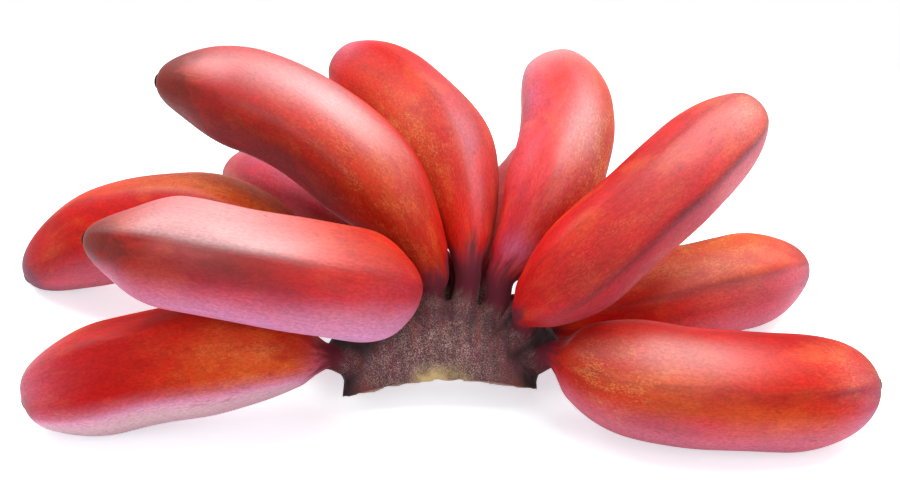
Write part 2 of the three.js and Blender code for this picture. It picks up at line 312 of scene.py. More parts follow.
def tint(name, description, default):
    """A colour to be set in the sidebar."""
    return FloatVectorProperty(
        name=name, description=description, subtype="COLOR", size=3, default=default,
    )


def length(name, description, default):
    """A length to be set in the sidebar."""
    return FloatProperty(name=name, description=description, default=default, unit="LENGTH")


def power(name, description, default):
    """A lamp's power to be set in the sidebar."""
    return FloatProperty(name=name, description=description, default=default, unit="POWER")


class FruitShape(PropertyGroup):
    """Sizes that all the fingers share."""

    ridge_depth: FloatProperty(
        name="Ridge Depth", description="How much of each fruit's own ridges shows",
        default=1.0, min=0, max=1, subtype="FACTOR",
    )
    ridge_softness: FloatProperty(
        name="Ridge Softness",
        description="The angle over which the skin rounds over each ridge",
        default=math.radians(8), subtype="ANGLE",
    )
    stalk_radius: length("Stalk Radius", "Half the thickness of a stalk", 0.0049)
    root_radius: length(
        "Root Radius", "Half a stalk's thickness where it leaves the crown", 0.0058,
    )
    neck_radius: length(
        "Neck Radius", "Half a stalk's thickness where it widens into its fruit", 0.0064,
    )
    scar_radius: length("Scar Radius", "Half the width of the stub that the flower left", 0.0036)
    swelling: length("Swelling", "How far the skin rises and sinks in soft, wide dents", 0.0003)
    sides: IntProperty(name="Sides", description="Faces round a fruit", default=100, min=20)
    rings: IntProperty(name="Rings", description="Faces along a fruit", default=120, min=20)


class PeelFinish(PropertyGroup):
    """Colours of the skin."""

    red: tint("Red", "The ripe skin", (0.66, 0.011, 0.006))
    deep: tint("Deep Red", "The darker clouds in the skin", (0.40, 0.005, 0.006))
    warm: tint("Warm", "The orange patches", (0.76, 0.12, 0.02))
    gold: tint("Gold", "The fine flecks in the orange", (0.90, 0.46, 0.13))
    # Painted sheen: this pink is painted on the undersides and in patches, for the floor's
    # reflection and for highlights.
    painted_sheen: tint("Bloom", "The pale wax on the undersides", (0.84, 0.34, 0.50))
    # Painted highlight: this near-white is painted where highlights fall and on the lowest
    # undersides.
    pale: tint("Pale", "The thickest wax", (0.82, 0.60, 0.61))
    # Partly the skin's own violet, partly a painted sheen of reflected light.
    violet_and_sheen: tint("Lilac", "The bluish wax in places", (0.56, 0.30, 0.62))
    # Also painted shade: this brown darkens some fingers' shaded lower and side faces.
    brown_and_shade: tint("Dull", "The brown of the tips", (0.17, 0.018, 0.011))
    ridge: tint("Ridge", "The worn lines along the ridges", (0.12, 0.010, 0.010))
    stalk: tint("Stalk", "The upper part of a stalk", (0.15, 0.026, 0.04))
    scar: tint("Scar", "The dry stub at the tip", (0.035, 0.018, 0.013))


class BarkFinish(PropertyGroup):
    """Colours of the crown and of the stalks' roots."""

    brown: tint("Brown", "The ground of the bark", (0.075, 0.03, 0.03))
    tan: tint("Tan", "The fine corky grains", (0.62, 0.42, 0.36))
    violet: tint("Violet", "The smooth bark at the sides", (0.13, 0.032, 0.05))
    green: tint("Green", "The fresh flesh at the middle of the cut", (0.64, 0.49, 0.20))
    rust: tint("Rust", "The torn corners", (0.20, 0.05, 0.035))
    flush: tint("Flush", "The red that runs down from the stalks", (0.24, 0.035, 0.035))
    # Painted shade: this also darkens the gaps between the roots, besides the crown's two far sides
    # and the troughs of its ribs.
    dark_and_shade: tint("Dark", "The hollows and the torn ends", (0.022, 0.009, 0.011))
    grain: length("Grain", "The size of the corky grains", 0.0003)


class StageSetup(PropertyGroup):
    """The floor, the lamps and the camera."""

    floor_size: length("Floor", "The side of the floor", 6.0)
    key_power: power("Key", "Power of the large lamp above", 14.0)
    fill_power: power("Fill", "Power of each lamp at the front", 4.0)
    rim_power: power("Rim", "Power of each lamp behind", 4.2)
    surround: FloatProperty(
        name="Surround", description="Strength of the light from all round", default=0.30, min=0,
    )
    target: FloatVectorProperty(
        name="Target", description="The point that the camera looks at", subtype="TRANSLATION",
        size=3, default=(0.0092, -0.0099, 0.049),
    )
    distance: length("Distance", "From the camera to the target", 0.85)
    elevation: FloatProperty(
        name="Elevation", description="The camera's angle above the horizon",
        default=math.radians(30), subtype="ANGLE",
    )
    lens: FloatProperty(
        name="Lens", description="The camera's focal length", default=85.0, unit="CAMERA",
    )


class HandSettings(PropertyGroup):
    """Everything that can be changed about the hand."""

    fruit: PointerProperty(type=FruitShape)
    peel: PointerProperty(type=PeelFinish)
    bark: PointerProperty(type=BarkFinish)
    stage: PointerProperty(type=StageSetup)


# ------------------------------------------------------------------------------------- formulas


def smoothstep(low, high, value):
    """0 at low and 1 at high, which may be the lesser of the two, and 3t^2 - 2t^3 of the share t
    between them."""
    share = np.clip((value - low) / (high - low), 0, 1)
    return share * share * (3 - 2 * share)


def unit(vectors):
    """Vectors divided by their lengths."""
    return vectors / np.linalg.norm(vectors, axis=-1, keepdims=True)


def ripple(points, wavelength, seed):
    """A smooth noise from about -1 to 1: the sum of 12 sine waves, each of which runs through
    space in its own direction, with its own phase and a length near the given one, over 3."""
    draw = np.random.default_rng(seed)
    directions = unit(draw.normal(size=(12, 3)))
    lengths = wavelength * draw.uniform(0.7, 1.4, 12)
    phases = draw.uniform(0, 2 * math.pi, 12)
    return np.sin(points @ (directions / lengths[:, None]).T * 2 * math.pi + phases).sum(-1) / 3


def crown_point(x, u, n):
    """A point given in the crown's own plane, in the hand's frame: u leans back by the tilt."""
    x, u, n = np.broadcast_arrays(x, u, n)
    y = u * math.cos(CROWN_TILT) - n * math.sin(CROWN_TILT)
    z = CUT_CLEARANCE + u * math.sin(CROWN_TILT) + n * math.cos(CROWN_TILT)
    return np.stack((x, y, z), -1) + CUT_EDGE_MIDDLE


def root_end(row, angle):
    """The end of a root on the crown and the way it points: straight out from the crown's heart
    at its angle, at the depth of its row."""
    turn = math.radians(angle)
    heart = crown_point(0.0, 0.0, -ROW_DEPTH[row])
    end = crown_point(ROOT_REACH * math.cos(turn), ROOT_REACH * math.sin(turn), -ROW_DEPTH[row])
    return end, unit(end - heart)


def cut_height(x):
    """The height of the knife's cut over the surface: the top of a wide drum that lies along Y
    and passes through the crown's lower left corner."""
    axis = CUT_CLEARANCE - math.sqrt(CUT_RADIUS**2 - (CROWN_HALF_WIDTH + CUT_SHIFT) ** 2)
    return axis + np.sqrt(CUT_RADIUS**2 - (x - CUT_SHIFT) ** 2)


def swell(share, bluntness):
    """An end of a fruit, from 0 at its narrowest to 1 at its full width: an ellipse where it is
    blunt, the slender S of 3t^2 - 2t^3 where it isn't, and a mix of them between."""
    share = np.clip(share, 0, 1)
    slender = share * share * (3 - 2 * share)
    ellipse = np.sqrt(1 - (1 - share) ** 2)
    return slender + (ellipse - slender) * bluntness


def bezier(points, steps):
    """Points along a Bezier curve: its control points weighted by Bernstein's polynomials."""
    t = np.linspace(0, 1, steps)[:, None]
    order = len(points) - 1
    return sum(
        math.comb(order, k) * t**k * (1 - t) ** (order - k) * np.array(p, float)
        for k, p in enumerate(points)
    )


def along(path, distances):
    """Points and directions at given distances along a dense path, straight on past its ends."""
    steps = np.linalg.norm(np.diff(path, axis=0), axis=1)
    at = np.concatenate(([0], np.cumsum(steps)))
    slope = unit(np.gradient(path, at, axis=0))
    inside = np.clip(distances, 0, at[-1])
    place = np.stack([np.interp(inside, at, path[:, k]) for k in range(3)], -1)
    onward = unit(np.stack([np.interp(inside, at, slope[:, k]) for k in range(3)], -1))
    return place + onward * (distances - inside)[:, None], onward


def tube_faces(rings, sides):
    """Faces of a closed tube: a quad between each two rings and sides, and a fan at each end.
    The vertices are the rings in turn, then the first end's middle, then the last end's."""
    ring = np.arange(rings - 1)[:, None] * sides
    here = np.arange(sides)
    after = (here + 1) % sides
    quads = np.stack(
        (ring + here, ring + after, ring + sides + after, ring + sides + here), -1
    ).reshape(-1, 4)
    first = rings * sides
    last = (rings - 1) * sides
    start = np.stack((np.full(sides, first), after, here), -1)
    end = np.stack((np.full(sides, first + 1), last + here, last + after), -1)
    return quads.tolist() + start.tolist() + end.tolist()


def add_object(name, data):
    """A new object in the scene, at the origin."""
    made = bpy.data.objects.new(name, data)
    bpy.context.scene.collection.objects.link(made)
    return made


def new_piece(name, points, faces, material):
    """A smooth mesh in the scene, from points in millimetres."""
    mesh = bpy.data.meshes.new(name)
    mesh.from_pydata((points * MM).tolist(), [], faces)
    mesh.materials.append(material)
    mesh.shade_smooth()
    return add_object(name, mesh)


def read(rows, name, width, kind=float):
    """One property of each of a mesh's vertices or edges, as the rows of an array."""
    values = np.empty(len(rows) * width, kind)
    rows.foreach_get(name, values)
    return values.reshape(-1, width)


def give(piece, name, values):
    """Writes one number, or one vector, for each vertex of a piece."""
    vector = values.ndim == 2
    kind = "FLOAT_VECTOR" if vector else "FLOAT"
    layer = piece.data.attributes.new(name, kind, "POINT")
    layer.data.foreach_set("vector" if vector else "value", values.astype(np.float32).ravel())


# ------------------------------------------------------------------------------------- fingers


def spine(row, finger):
    """A finger's centre line as dense points, with the stalk's and the fruit's lengths: a cubic
    curve from the root to the neck, then a quadratic one through the neck, belly and tip."""
    neck, belly, tip = (
        np.array(point) + CUT_EDGE_MIDDLE for point in (finger.neck, finger.belly, finger.tip)
    )
    fruit = bezier((neck, 2 * belly - (neck + tip) / 2, tip), 600)
    end, direction = root_end(row, finger.root)
    reach = np.linalg.norm(neck - end)
    onward = unit(fruit[1] - fruit[0])
    stalk = bezier(
        (end, end + direction * reach * ROOT_PULL, neck - onward * reach * NECK_PULL, neck), 300
    )
    lengths = [np.linalg.norm(np.diff(part, axis=0), axis=1).sum() for part in (stalk, fruit)]
    return np.concatenate((stalk[:-1], fruit)), lengths


def finger_radius(at, stalk, fruit, finger, shape):
    """The radius at a distance from the root. A stalk flares by the square of the distance into
    its first third, towards the root, and into its last half, towards the fruit. A fruit is the
    lesser of its two swelling ends. The stub steps in, flares again and closes over a dish."""
    thin, root, neck, scar = (
        size / MM
        for size in (shape.stalk_radius, shape.root_radius, shape.neck_radius, shape.scar_radius)
    )
    full = finger.girth / 2
    share = np.clip(at / stalk, 0, 1)
    on_stalk = thin + (root - thin) * np.clip(1 - 3 * share, 0, 1) ** 2
    on_stalk += (neck - thin) * np.clip(2 * share - 1, 0, 1) ** 2
    share = np.clip((at - stalk) / fruit, 0, 1)
    from_neck = neck + (full - neck) * swell(share / finger.widening, finger.shoulder)
    from_tip = scar + (full - scar) * swell((1 - share) / NARROWING, finger.point)
    past = at - stalk - fruit
    stub = scar * np.interp(past, *STUB_OUTLINE)
    on_fruit = np.where(past > 0, stub, np.minimum(from_neck, from_tip))
    return np.where(at < stalk, on_stalk, on_fruit)


def finger_rings(stalk, fruit, finger, shape):
    """The distances of a finger's rings from its root, closer together at the fruit's ends, and
    their radii. As far as the fruit's middle, a radius is the mean of those within the easing."""
    shares = (1 - np.cos(np.linspace(0, math.pi, shape.rings + 1))) / 2
    at = np.concatenate((
        np.linspace(-ROOT_TUCK, stalk, STALK_RINGS)[:-1],
        stalk + shares * fruit,
        stalk + fruit + np.array(STUB_RINGS),
    ))
    eased = np.mean([
        finger_radius(at + shift, stalk, fruit, finger, shape)
        for shift in np.linspace(-EASING, EASING, EASING_STEPS)
    ], axis=0)
    radius = finger_radius(at, stalk, fruit, finger, shape)
    return at, np.where(at < stalk + fruit / 2, eased, radius)


def cross_axes(finger, onward):
    """Two ways square to the centre line at each ring: into the bend, and out of its plane."""
    neck, belly, tip = (
        np.array(point, float) for point in (finger.neck, finger.belly, finger.tip)
    )
    across = unit(np.cross(tip - neck, belly - (neck + tip) / 2))
    side = unit(across - onward * (onward @ across)[:, None])
    return np.cross(side, onward), side


def pentagon(angle, finger, shape):
    """A rounded pentagon's radius, with a mean near 1, and the angle from the nearest ridge. The
    radius is cos 36 / cos of the angle from a side's middle, over cos 18, with the angle c from
    a ridge taken as the root of c^2 and the softness squared."""
    turned = np.mod(angle + math.radians(finger.turn), FACET_ANGLE)
    from_ridge = np.minimum(turned, FACET_ANGLE - turned)
    softened = np.sqrt(from_ridge**2 + shape.ridge_softness**2)
    half = FACET_ANGLE / 2
    return math.cos(half) / np.cos(half - softened) / math.cos(half / 2), from_ridge


def facing(out, way):
    """The angle in degrees between each way out of the skin and a given one."""
    return np.degrees(np.arccos(np.clip(out @ unit(np.array(way)), -1, 1)))


def facet(angle, finger, into_bend, aside):
    """1 on the facet that most faces a given way and 0 off it, softly over its ridges. The way is
    given by its parts along the two cross axes."""
    middles = FACET_ANGLE / 2 - math.radians(finger.turn) + FACET_ANGLE * np.arange(RIDGES)
    faces = np.cos(middles) * into_bend + np.sin(middles) * aside
    off = np.mod(angle - middles[np.argmax(faces)] + math.pi, 2 * math.pi) - math.pi
    return smoothstep(FACET_ANGLE / 2 + FACET_EDGE, FACET_ANGLE / 2 - FACET_EDGE, np.abs(off))


def mark_fields(finger, share, angle, out, axes):
    """The strength of each kind of mark over the skin: the sum of its patches, each falling off
    as exp(-x^2) along the fruit, and round it too unless it fills a facet."""
    fields = {kind: np.zeros(out.shape[:2]) for kind in MARKS}
    for kind, patches in finger.marks.items():
        for centre, way, reach, spread, strength in patches:
            if spread == FACET:
                ring = np.argmin(np.abs(share - centre))
                parts = [axis[ring] @ unit(np.array(way)) for axis in axes]
                around = facet(angle, finger, *parts)
            else:
                around = np.exp(-((facing(out, way) / spread) ** 2))
            fields[kind] += strength * np.exp(-(((share - centre) / reach) ** 2)) * around
    return fields


def finger_piece(name, material, shape):
    """A finger. Rings of skin stand square to the centre line. Each is a circle, drawn towards a
    pentagon by the finger's edge where the fruit is full, and raised and sunk by soft dents."""
    finger = FINGERS[name]
    seed = list(FINGERS).index(name)
    path, (stalk, fruit) = spine(name.split("_")[0], finger)
    at, radius = finger_rings(stalk, fruit, finger, shape)
    place, onward = along(path, at)
    inward, side = cross_axes(finger, onward)

    angle = np.linspace(0, 2 * math.pi, shape.sides, endpoint=False)
    turn = angle[None, :, None]
    out = inward[:, None] * np.cos(turn) + side[:, None] * np.sin(turn)
    outline, from_ridge = pentagon(angle, finger, shape)
    low, high = RIDGE_FADE
    fullness = np.clip((radius / finger.girth - low) / (high - low), 0, 1)
    fullness = (fullness * smoothstep(stalk, stalk + 2 * EASING, at))[:, None]
    skin = radius[:, None] * (1 + (outline - 1) * shape.ridge_depth * finger.edge * fullness)
    dents = ripple(place[:, None] + out * radius[:, None, None], DENT_WIDTH, seed)
    skin += shape.swelling / MM * fullness * dents
    grid = place[:, None] + out * skin[..., None]
    ends = np.stack((place[0], place[-1] - onward[-1] * STUB_DISH))
    points = np.concatenate((grid.reshape(-1, 3), ends))
    points[:, 2] = np.maximum(points[:, 2], 0)
    piece = new_piece("fruit_" + name, points, tube_faces(*skin.shape), material)

    def spread(values):
        """Values on the grid, or one for each ring, and after them each end ring's mean."""
        values = np.broadcast_to(values, skin.shape)
        return np.concatenate((values.ravel(), values[(0, -1), :].mean(1)))

    # The skin as it would lie on a straight round bar, for patterns that run along it.
    along_skin, around = np.meshgrid(at, angle, indexing="ij")
    across = finger.girth / 2 * np.stack((np.cos(around), np.sin(around)))
    straight = np.stack((*across, along_skin + PATTERN_STEP * seed), -1)
    straight = np.concatenate((straight.reshape(-1, 3), straight[(0, -1), 0]))
    # The distance over the skin from the scar: the sum of the steps from ring to ring.
    slant = np.hypot(np.diff(radius), np.diff(at)) * (at[1:] <= stalk + fruit)
    from_scar = np.append(np.cumsum(slant[::-1])[::-1], 0)
    give(piece, "straight", straight * MM)
    give(piece, "from_root", spread(at[:, None]) * MM)
    give(piece, "from_neck", spread(at[:, None] - stalk) * MM)
    give(piece, "from_scar", spread(from_scar[:, None]) * MM)
    give(piece, "ridge", spread(np.exp(-((from_ridge / RIDGE_LINE) ** 2)) * fullness**2))

    share = ((at - stalk) / fruit)[:, None]
    fields = mark_fields(finger, share, angle, out, (inward, side))
    # Painted sheen: the undersides are painted paler the more they face down, as the white floor's
    # reflection.
    fields["painted_sheen"] += finger.painted_sheen * smoothstep(*PAINTED_SHEEN_RISE, out[..., 2]) * fullness
    strength, centre, reach = finger.polish
    off = facing(out, POLISHED) / POLISH_SPREAD
    fields["polish"] = strength * np.exp(-(off**2) - ((share - centre) / reach) ** 2)
    for kind, values in fields.items():
        give(piece, kind, spread(values))

    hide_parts("banana_" + name)
    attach(piece, BODY)


# --------------------------------------------------------------------------------------- crown


def above_cut(points):
    """Points with those below the knife's cut slid up the crown's own slope to it, where the
    blade has left the edge slightly uneven."""
    waves = CUT_WAVE * ripple(points, wavelength=9, seed=5)
    blade = cut_height(points[..., 0] - CUT_EDGE_MIDDLE[0]) + waves
    lift = np.maximum(blade - points[..., 2], 0)[..., None]
    return points + lift * np.array((0.0, 1 / math.tan(CROWN_TILT), 1.0))


def closed_tube(grid):
    """A grid of rings as a shell: its points with the middle of each end, and its faces."""
    ends = grid[(0, -1), :].mean(1)
    return np.concatenate((grid.reshape(-1, 3), ends)), tube_faces(*grid.shape[:2])


def cushion_shell():
    """The crown's cushion: a rounded oblong section carried from side to side. Both the section
    and the line of its top over the width are superellipses."""
    columns, sides = 90, 96
    across = np.sin(np.linspace(-1, 1, columns) * math.pi / 2)
    x = across * CROWN_HALF_WIDTH
    inner, outer = CROWN_TOP_CURVE
    top = CROWN_SIDE + (CROWN_HEIGHT - CROWN_SIDE) * (1 - np.abs(across) ** inner) ** outer
    middle = (top - CROWN_SPARE) / 2
    half_height = (top + CROWN_SPARE) / 2
    half_depth = CROWN_THICKNESS / 2 * (1 - np.abs(across) ** PINCH_CURVE * CROWN_PINCH)
    angle = np.linspace(0, 2 * math.pi, sides, endpoint=False)
    over, up = (
        np.sign(wave) * np.abs(wave) ** CROWN_SECTION_CURVE
        for wave in (np.cos(angle), np.sin(angle))
    )
    u = middle[:, None] + half_height[:, None] * up
    n = -CROWN_THICKNESS / 2 - half_depth[:, None] * over
    return closed_tube(above_cut(crown_point(x[:, None], u, n)))


def peg(end, direction):
    """A round peg from the crown's heart that tapers along a root's outline to its end."""
    distances, radii = ROOT_OUTLINE
    at = np.linspace(distances[0], distances[-1], 24)
    radius = np.interp(at, distances, radii)
    across = unit(np.cross(direction, (0.0, 0.0, 1.0)))
    side = np.cross(direction, across)
    turn = np.linspace(0, 2 * math.pi, 36, endpoint=False)[None, :, None]
    out = across * np.cos(turn) + side * np.sin(turn)
    return closed_tube(
        above_cut(end + direction * at[:, None, None] + out * radius[:, None, None])
    )


def web_shell(angle, reach, depth):
    """One web: a peg between two roots, at its own depth."""
    turn = math.radians(angle)
    out = np.array((math.cos(turn), math.sin(turn))) * (ROOT_REACH + reach)
    heart, end = crown_point(0.0, 0.0, -depth), crown_point(out[0], out[1], -depth)
    return peg(end, unit(end - heart))


def settle(points, edges, weights, passes):
    """Moves each point half way to the mean of its neighbours, times its weight, pass by pass."""
    count = np.bincount(edges.ravel(), minlength=len(points))[:, None]
    for _ in range(passes):
        total = np.stack([
            np.bincount(edges[:, 0], points[edges[:, 1], k], len(points))
            + np.bincount(edges[:, 1], points[edges[:, 0], k], len(points))
            for k in range(3)
        ], -1)
        points = points + (total / count - points) * 0.5 * weights[:, None]
    return points


def grown_together(shells, material):
    """One mesh around overlapping shells, by a voxel remesh."""
    starts = np.cumsum([0] + [len(points) for points, _ in shells[:-1]])
    faces = [
        [corner + start for corner in face]
        for start, (_, shell) in zip(starts, shells, strict=True)
        for face in shell
    ]
    points = np.concatenate([points for points, _ in shells])
    stock = new_piece("crown_stock", points, faces, material)
    remesh = stock.modifiers.new("Grow together", "REMESH")
    remesh.mode = "VOXEL"
    remesh.voxel_size = BARK_VOXEL * MM
    evaluated = stock.evaluated_get(bpy.context.evaluated_depsgraph_get())
    mesh = bpy.data.meshes.new_from_object(evaluated)
    bpy.data.objects.remove(stock)
    return mesh


def crown_piece(material):
    """The crown: the cushion, roots and webs grown into one skin and settled, so that the roots
    rise in soft columns while the cut keeps a crisp edge, with knobs, grit and ribs of bark."""
    roots = [root_end(name.split("_")[0], finger.root) for name, finger in FINGERS.items()]
    shells = [cushion_shell(), *(peg(*root) for root in roots), *(web_shell(*web) for web in WEBS)]
    mesh = grown_together(shells, material)
    co = read(mesh.vertices, "co", 3) / MM
    above = co[:, 2] - cut_height(co[:, 0] - CUT_EDGE_MIDDLE[0])
    looseness = 0.15 + 0.85 * smoothstep(0.5, 5.0, above)  # firm at the cut
    co = settle(co, read(mesh.edges, "vertices", 2, int), looseness, BARK_PASSES)
    knobs = 0.16 * ripple(co, wavelength=5, seed=11)
    grit = 0.1 * ripple(co, wavelength=2.2, seed=12)
    ribs = 0.28 * ripple(co * UP_SLOPE, wavelength=4, seed=13)
    bark = (knobs + grit + ribs) * smoothstep(0.2, 2.0, above)
    co += read(mesh.vertices, "normal", 3) * bark[:, None]
    co[:, 2] = np.maximum(co[:, 2], BARK_CLEARANCE)
    mesh.vertices.foreach_set("co", (co * MM).ravel())
    mesh.update()
    mesh.name = "crown_bark"
    mesh.materials.clear()
    mesh.materials.append(material)
    mesh.shade_smooth()
    piece = add_object("crown_bark", mesh)

    from_heart = co - crown_point(0.0, 0.0, 0.0)
    up_slope = from_heart @ np.array((0.0, math.cos(CROWN_TILT), math.sin(CROWN_TILT)))
    off_root = np.full(len(co), ROOT_LENGTH)
    for end, direction in roots:
        beside = np.linalg.norm(np.cross(co - end, direction), axis=1)
        off_root = np.minimum(off_root, beside)
    give(piece, "reach", np.hypot(from_heart[:, 0], up_slope) * MM)
    give(piece, "aside", from_heart[:, 0] / CROWN_HALF_WIDTH)
    give(piece, "above_cut", above * MM)
    give(piece, "off_root", off_root * MM)
    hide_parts("crown")
    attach(piece, BODY)


# ------------------------------------------------------------------------------------ materials


class Wiring:
    """Puts nodes into one tree and links them. A value may be a number, a colour or a socket."""

    def __init__(self, tree):
        self.tree = tree

    def node(self, kind, **settings):
        made = self.tree.nodes.new("ShaderNode" + kind)
        for name, value in settings.items():
            setattr(made, name, value)
        return made

    def feed(self, socket, value):
        if isinstance(value, bpy.types.NodeSocket):
            self.tree.links.new(value, socket)
        elif value is not None:
            wide = hasattr(socket.default_value, "__len__")
            long = wide and len(socket.default_value) == 4 and len(value) == 3
            socket.default_value = (*value, 1.0) if long else value

    def fill(self, node, values):
        """Feeds several of a node's inputs by their names, and gives the node."""
        for name, value in values.items():
            self.feed(node.inputs[name], value)
        return node

    def attribute(self, name, vector=False):
        made = self.node("Attribute", attribute_name=name)
        return made.outputs["Vector" if vector else "Fac"]

    def math(self, operation, a, b=None, clamp=False):
        made = self.node("Math", operation=operation, use_clamp=clamp)
        self.feed(made.inputs[0], a)
        self.feed(made.inputs[1], b)
        return made.outputs[0]

    def times(self, a, b, clamp=False):
        return self.math("MULTIPLY", a, b, clamp)

    def plus(self, a, b):
        return self.math("ADD", a, b)

    def minus(self, a, b):
        return self.math("SUBTRACT", a, b)

    def ratio(self, a, b):
        return self.math("DIVIDE", a, b)

    def larger(self, a, b):
        return self.math("MAXIMUM", a, b)

    def ramp(self, value, low, high, start=0.0, end=1.0):
        """Maps low..high to start..end, smoothly and without leaving it."""
        made = self.fill(self.node("MapRange", interpolation_type="SMOOTHSTEP"), {
            "Value": value, "From Min": low, "From Max": high, "To Min": start, "To Max": end,
        })
        return made.outputs["Result"]

    def stretch(self, vector, scale):
        made = self.fill(self.node("Mapping"), {"Vector": vector, "Scale": scale})
        return made.outputs["Vector"]

    def noise(self, vector, scale, detail=2.0, roughness=0.5, distortion=0.0):
        made = self.fill(self.node("TexNoise"), {
            "Vector": vector, "Scale": scale, "Detail": detail, "Roughness": roughness,
            "Distortion": distortion,
        })
        return made.outputs["Fac"]

    def blend(self, factor, a, b, kind="MIX"):
        made = self.node("Mix", data_type="RGBA", blend_type=kind)
        colours = [s for s in made.inputs if s.type == "RGBA"]
        self.feed(made.inputs["Factor"], factor)
        self.feed(colours[0], a)
        self.feed(colours[1], b)
        return next(s for s in made.outputs if s.type == "RGBA")

    def lay(self, under, over, mask, share=1.0):
        """One colour over another where a mask says, at a share of its strength."""
        return self.blend(mask if share == 1.0 else self.times(mask, share), under, over)

    def bump(self, height, strength, distance):
        """A normal that follows a height."""
        made = self.fill(self.node("Bump"), {
            "Height": height, "Strength": strength, "Distance": distance,
        })
        return made.outputs["Normal"]

    def shared(self, name, **values):
        """The outputs of a shared group, which is made the first time that it is asked for."""
        group = bpy.data.node_groups.get(name) or GROUPS[name]()
        return self.fill(self.node("Group", node_tree=group), values).outputs

    def fibres(self, vector, width, pull):
        made = self.shared("Fibres", Vector=vector, Width=width, Pull=pull)
        return made["Fine"], made["Broad"]

    def speckle(self, vector, size, cover, clump):
        return self.shared("Speckle", Vector=vector, Size=size, Cover=cover, Clump=clump)["Mask"]

    def clouds(self, vector, size, level, softness):
        made = self.shared("Clouds", Vector=vector, Size=size, Level=level, Softness=softness)
        return made["Mask"]


def new_group(name, inputs, outputs):
    """An empty shader group with the given sockets, its wiring, and its two end nodes' sockets."""
    group = bpy.data.node_groups.new(name, "ShaderNodeTree")
    for label, kind, default in inputs:
        socket = group.interface.new_socket(label, in_out="INPUT", socket_type="NodeSocket" + kind)
        if default is not None:
            socket.default_value = default
    for label in outputs:
        group.interface.new_socket(label, in_out="OUTPUT", socket_type="NodeSocketFloat")
    start = group.nodes.new("NodeGroupInput")
    end = group.nodes.new("NodeGroupOutput")
    return group, Wiring(group), start.outputs, end.inputs


def fibre_group():
    """Fine threads that run lengthwise: a noise squeezed along the third axis, at two widths."""
    group, wire, given, out = new_group(
        "Fibres",
        (("Vector", "Vector", None), ("Width", "Float", 0.001), ("Pull", "Float", 12.0)),
        ("Fine", "Broad"),
    )
    x, y, z = wire.fill(wire.node("SeparateXYZ"), {"Vector": given["Vector"]}).outputs
    joined = wire.fill(wire.node("CombineXYZ"), {"X": x, "Y": y, "Z": wire.ratio(z, given["Pull"])})
    squeezed = joined.outputs["Vector"]
    scale = wire.ratio(1.0, given["Width"])
    fine = wire.noise(squeezed, scale, detail=2.0, roughness=0.6, distortion=0.3)
    wide = wire.times(scale, 0.16)
    broad = wire.noise(squeezed, wide, detail=3.0, roughness=0.55, distortion=0.5)
    wire.feed(out["Fine"], fine)
    wire.feed(out["Broad"], broad)
    return group


def speckle_group():
    """Small grains: the tops of a noise, kept where a slower noise is high."""
    group, wire, given, out = new_group(
        "Speckle",
        (
            ("Vector", "Vector", None), ("Size", "Float", 0.001), ("Cover", "Float", 0.5),
            ("Clump", "Float", 0.5),
        ),
        ("Mask",),
    )
    scale = wire.ratio(0.7, given["Size"])
    fine = wire.noise(given["Vector"], scale, detail=1.0, roughness=0.6, distortion=1.2)
    slow = wire.noise(given["Vector"], wire.times(scale, 0.09))
    raised = wire.plus(fine, wire.times(wire.minus(slow, 0.5), given["Clump"]))
    edge = wire.minus(0.72, wire.times(given["Cover"], 0.3))
    wire.feed(out["Mask"], wire.ramp(raised, edge, wire.plus(edge, 0.07)))
    return group


def cloud_group():
    """Soft patches: a slow noise, cut between two levels."""
    group, wire, given, out = new_group(
        "Clouds",
        (
            ("Vector", "Vector", None), ("Size", "Float", 0.03), ("Level", "Float", 0.5),
            ("Softness", "Float", 0.15),
        ),
        ("Mask",),
    )
    scale = wire.ratio(1.0, given["Size"])
    noise = wire.noise(given["Vector"], scale, detail=3.0, roughness=0.55, distortion=0.4)
    low = wire.minus(given["Level"], given["Softness"])
    high = wire.plus(given["Level"], given["Softness"])
    wire.feed(out["Mask"], wire.ramp(noise, low, high))
    return group


GROUPS = {"Fibres": fibre_group, "Speckle": speckle_group, "Clouds": cloud_group}


def new_material(name):
    """A material with nothing but a shader, its wiring, and the shader."""
    material = bpy.data.materials.new(name)
    material.use_nodes = True
    material.node_tree.nodes.clear()
    wire = Wiring(material.node_tree)
    shader = wire.node("BsdfPrincipled")
    wire.feed(wire.node("OutputMaterial").inputs["Surface"], shader.outputs["BSDF"])
    return material, wire, shader


def bark_colour(wire, vector, bark):
    """The corky bark: tan grains on a brown ground that turns violet in clouds. Gives the colour
    and the grains' mask."""
    violet = wire.clouds(vector, size=0.012, level=0.5, softness=0.2)
    ground = wire.lay(bark.brown, bark.violet, violet)
    grains = wire.speckle(vector, size=bark.grain, cover=0.66, clump=0.2)
    return wire.lay(ground, bark.tan, grains, 0.7), grains


